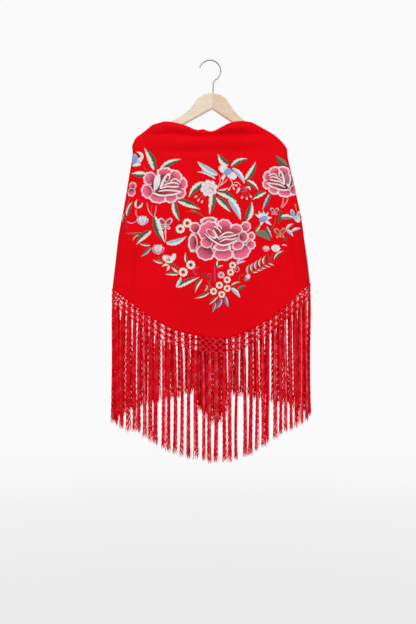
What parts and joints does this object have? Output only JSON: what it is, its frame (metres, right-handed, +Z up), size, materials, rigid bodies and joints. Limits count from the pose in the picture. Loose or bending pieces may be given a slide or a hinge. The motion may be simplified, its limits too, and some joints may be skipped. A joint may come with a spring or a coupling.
{
  "type": "flamenco shawl on hanger",
  "caption": "Triangular embroidered shawl with a long knotted fringe, its tips tied behind, hung on a flat wooden hanger with a wire hook.",
  "frame": {"origin": "the point at the top of the inside of the hook's loop that a rail bears on", "axes": "+Z up, +X to the viewer's right in front of the shawl, +Y to the back"},
  "size_m": [0.5353, 0.0806, 1.0871],
  "materials": {
    "crepe": "red crepe with a faint sheen",
    "fringe_thread": "silky crimped red thread",
    "embroidery_thread": "satin stitch in pinks, greens, blues and cream",
    "hanger_wood": "clear satin lacquer",
    "hook_wire": "satin nickel"
  },
  "bodies": {
    "root": {"hook": "hook_wire", "hanger_arm_left": "hanger_wood", "hanger_arm_right": "hanger_wood", "shawl_front": "crepe", "shawl_wing_left": "crepe", "shawl_wing_right": "crepe", "shawl_tie": "crepe", "shawl_tail_left": "crepe", "shawl_tail_right": "crepe", "fringe_front": "fringe_thread", "fringe_wing_left": "fringe_thread", "fringe_wing_right": "fringe_thread", "fringe_tail_left": "fringe_thread", "fringe_tail_right": "fringe_thread"}
  },
  "joints": []
}
